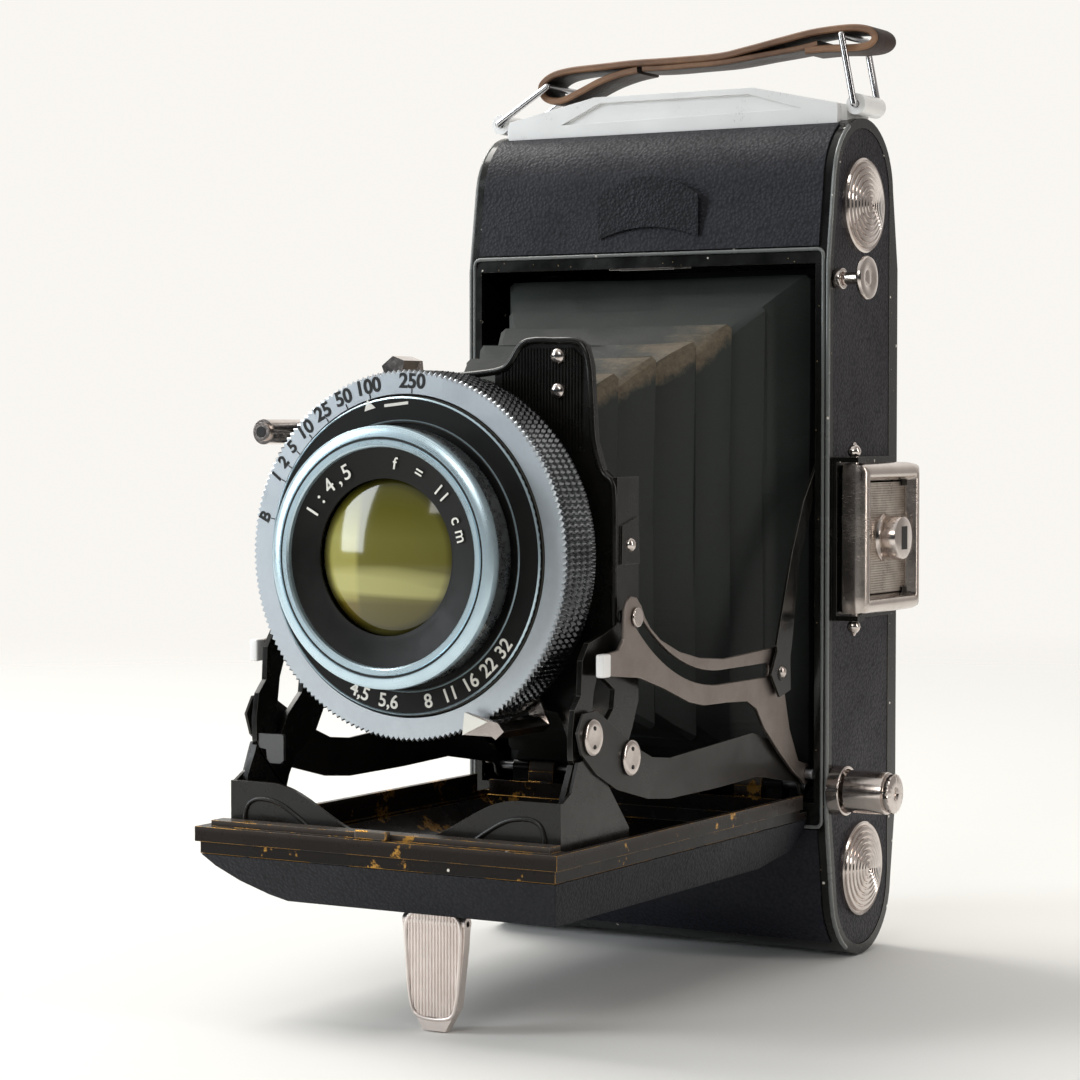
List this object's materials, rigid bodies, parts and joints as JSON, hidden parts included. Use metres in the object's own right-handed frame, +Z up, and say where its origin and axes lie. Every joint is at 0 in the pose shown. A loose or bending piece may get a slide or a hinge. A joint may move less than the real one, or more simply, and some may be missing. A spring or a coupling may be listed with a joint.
{
  "type": "folding roll-film camera",
  "caption": "Folding bellows camera with an upright body, a drop bed on folding struts, a leaf-shutter lens, a folding finder, a tip-out leg and a strap handle.",
  "frame": {"origin": "under the middle of the opened camera's box, on the floor", "axes": "+Z up along the body, -Y the way the lens looks, +X toward the side with the finder and the two buttons"},
  "size_m": [0.1038, 0.1287, 0.1776],
  "materials": {
    "body_enamel": "gloss black enamel, worn",
    "side_leather": "fine pebble, purple grey",
    "front_leather": "fine pebble, blue grey",
    "bed_leather": "fine pebble, navy",
    "nickel": "polished nickel",
    "plate_chrome": "bright plate",
    "satin_nickel": "satin nickel",
    "link_steel": "blued grey steel",
    "black_paint": "gloss black paint",
    "bellows": "matt leathercloth, worn at the folds",
    "case_black": "satin black lacquer",
    "ring_silver": "satin, black teeth",
    "ring_black": "matt black",
    "bezel": "bright chrome",
    "lens_glass": "coated glass",
    "red_film": "red celluloid",
    "steel": "plain steel",
    "spool_metal": "black japanned tin and wood",
    "strap_leather": "stitched strap, tan edges",
    "bail_wire": "nickel-plated wire"
  },
  "bodies": {
    "body": {"body_shell": "body_enamel", "side_leather": "side_leather", "front_leather": "front_leather", "spool_caps": "nickel", "handle_plate": "plate_chrome", "film_gate": "case_black", "film_rollers": "steel", "bed_catch": "nickel", "hinge_pins": "steel", "link_pins": "steel", "tripod_bush": "nickel", "button_collars": "nickel", "finder_base": "body_enamel", "finder_pin": "nickel", "bellows": "bellows"},
    "back": {"back_cover": "body_enamel", "back_leather": "front_leather", "red_windows": "red_film", "pressure_plate": "case_black"},
    "back_latch": {"back_latch": "nickel"},
    "window_shutter": {"window_shutter": "body_enamel"},
    "finder_frame": {"finder_front": "satin_nickel"},
    "finder_eyepiece": {"finder_eyepiece": "satin_nickel"},
    "bed": {"bed_shell": "black_paint", "bed_leather": "bed_leather", "foot_bracket": "black_paint", "side_arms": "black_paint", "arm_studs": "nickel", "bed_latch": "nickel"},
    "support_leg": {"support_leg": "nickel"},
    "slot_link_right": {"slot_link_right": "link_steel", "finger_tab_right": "nickel"},
    "slot_link_left": {"slot_link_left": "link_steel", "finger_tab_left": "nickel"},
    "slot_stud": {"slot_stud": "nickel"},
    "brace_right": {"brace_right": "black_paint"},
    "brace_left": {"brace_left": "black_paint"},
    "standard": {"lens_standard": "black_paint", "standard_studs": "nickel", "shutter_case": "case_black", "shutter_blades": "steel", "scale_ring": "ring_black", "rear_cell": "case_black", "rear_lens": "lens_glass"},
    "speed_ring": {"speed_ring": "ring_silver"},
    "aperture_pointer": {"aperture_pointer": "nickel"},
    "cocking_lever": {"cocking_lever": "nickel"},
    "release_lever": {"release_lever": "nickel"},
    "focus_cell": {"focus_ring": "bezel", "name_ring": "case_black", "front_lens": "lens_glass"},
    "bed_button": {"bed_button": "nickel"},
    "shutter_button": {"shutter_button": "nickel"},
    "takeup": {"winding_key": "nickel", "takeup_spool": "spool_metal"},
    "supply_spool": {"supply_spool": "spool_metal"},
    "spool_pin": {"spool_pin": "nickel"},
    "bail_right": {"bail_right": "bail_wire"},
    "bail_left": {"bail_left": "bail_wire"},
    "strap": {"strap": "strap_leather"}
  },
  "joints": [
    {"name": "bed_fold", "type": "hinge", "parent": "body", "child": "bed", "pos_m": [0, 0.0333, 0.0336], "axis": [-1, 0, 0], "range_deg": [0, 90], "deforming": ["bellows"]},
    {"name": "link_right_fold", "type": "hinge", "parent": "body", "child": "slot_link_right", "pos_m": [0.0347, 0.0312, 0.036], "axis": [-1, 0, 0], "range_deg": [0, 84]},
    {"name": "link_left_fold", "type": "hinge", "parent": "body", "child": "slot_link_left", "pos_m": [-0.0347, 0.0312, 0.036], "axis": [-1, 0, 0], "range_deg": [0, 84]},
    {"name": "stud_in_slot", "type": "hinge", "parent": "slot_link_right", "child": "slot_stud", "pos_m": [0.0347, -0.0038, 0.1044], "axis": [1, 0, 0], "range_deg": [0, 40.9]},
    {"name": "standard_swing", "type": "hinge", "parent": "slot_stud", "child": "standard", "pos_m": [0.0347, -0.0359, 0.0692], "axis": [1, 0, 0], "range_deg": [0, 43.12]},
    {"name": "brace_right_swing", "type": "hinge", "parent": "body", "child": "brace_right", "pos_m": [0.0356, 0.0396, 0.095], "axis": [1, 0, 0], "range_deg": [0, 41.74]},
    {"name": "brace_left_swing", "type": "hinge", "parent": "body", "child": "brace_left", "pos_m": [-0.0356, 0.0396, 0.095], "axis": [1, 0, 0], "range_deg": [0, 41.74]},
    {"name": "leg_fold", "type": "hinge", "parent": "bed", "child": "support_leg", "pos_m": [0.0085, -0.0568, 0.0184], "axis": [1, 0, 0], "range_deg": [0, 86]},
    {"name": "speed_set", "type": "hinge", "parent": "standard", "child": "speed_ring", "pos_m": [0, -0.0478, 0.0794], "axis": [0, 1, 0], "range_deg": [0, 80]},
    {"name": "aperture_set", "type": "hinge", "parent": "standard", "child": "aperture_pointer", "pos_m": [0, -0.0478, 0.0794], "axis": [0, 1, 0], "range_deg": [-8, 40]},
    {"name": "focus_turn", "type": "hinge", "parent": "standard", "child": "focus_cell", "pos_m": [0, -0.0568, 0.0794], "axis": [0, 1, 0], "range_deg": [0, 270]},
    {"name": "cock_shutter", "type": "hinge", "parent": "standard", "child": "cocking_lever", "pos_m": [0, -0.0418, 0.0794], "axis": [0, 1, 0], "range_deg": [0, 12]},
    {"name": "release_shutter", "type": "hinge", "parent": "standard", "child": "release_lever", "pos_m": [0, -0.0403, 0.0794], "axis": [0, 1, 0], "range_deg": [0, 9], "stiffness_Nm_per_rad": 0.05},
    {"name": "bed_button_press", "type": "slide", "parent": "body", "child": "bed_button", "axis": [-1, 0, 0], "range_m": [0, 0.002], "stiffness_N_per_m": 400},
    {"name": "shutter_button_press", "type": "slide", "parent": "body", "child": "shutter_button", "axis": [-1, 0, 0], "range_m": [0, 0.002], "stiffness_N_per_m": 300},
    {"name": "wind_film", "type": "hinge", "parent": "body", "child": "takeup", "pos_m": [0, 0.0462, 0.1434], "axis": [-1, 0, 0], "continuous": true},
    {"name": "supply_spin", "type": "hinge", "parent": "body", "child": "supply_spool", "pos_m": [0, 0.0462, 0.0166], "axis": [-1, 0, 0], "continuous": true},
    {"name": "spool_pin_pull", "type": "slide", "parent": "body", "child": "spool_pin", "axis": [-1, 0, 0], "range_m": [0, 0.0035], "stiffness_N_per_m": 200},
    {"name": "back_open", "type": "hinge", "parent": "body", "child": "back", "pos_m": [0, 0.0592, 0.0059], "axis": [-1, 0, 0], "range_deg": [0, 90]},
    {"name": "back_latch_slide", "type": "slide", "parent": "back", "child": "back_latch", "axis": [0, 0, -1], "range_m": [0, 0.004], "stiffness_N_per_m": 300},
    {"name": "window_cover_slide", "type": "slide", "parent": "back", "child": "window_shutter", "axis": [1, 0, 0], "range_m": [0, 0.012]},
    {"name": "finder_frame_fold", "type": "hinge", "parent": "body", "child": "finder_frame", "pos_m": [0.0432, 0.0344, 0.08], "axis": [0, 0, -1], "range_deg": [0, 90]},
    {"name": "finder_eye_fold", "type": "hinge", "parent": "body", "child": "finder_eyepiece", "pos_m": [0.0435, 0.0557, 0.08], "axis": [0, 0, 1], "range_deg": [0, 90]},
    {"name": "handle_fold", "type": "hinge", "parent": "body", "child": "bail_right", "pos_m": [0.0393, 0.0478, 0.1624], "axis": [0, -1, 0], "range_deg": [0, 20]},
    {"name": "bail_left_fold", "type": "hinge", "parent": "body", "child": "bail_left", "pos_m": [-0.0393, 0.0478, 0.1624], "axis": [0, -1, 0], "range_deg": [0, 28.01]},
    {"name": "strap_swing", "type": "hinge", "parent": "bail_right", "child": "strap", "pos_m": [0.0367, 0.0478, 0.1754], "axis": [0, -1, 0], "range_deg": [-25.51, 0]}
  ],
  "couplings": [
    {"joint": "link_right_fold", "follows": "bed_fold", "ratio": 0.93333},
    {"joint": "link_left_fold", "follows": "bed_fold", "ratio": 0.93333},
    {"joint": "stud_in_slot", "follows": "bed_fold", "ratio": 0.45432},
    {"joint": "standard_swing", "follows": "bed_fold", "ratio": 0.47901},
    {"joint": "brace_right_swing", "follows": "bed_fold", "ratio": 0.4637},
    {"joint": "brace_left_swing", "follows": "bed_fold", "ratio": 0.4637},
    {"joint": "bail_left_fold", "follows": "handle_fold", "ratio": 1.4},
    {"joint": "strap_swing", "follows": "handle_fold", "ratio": -1.275}
  ]
}
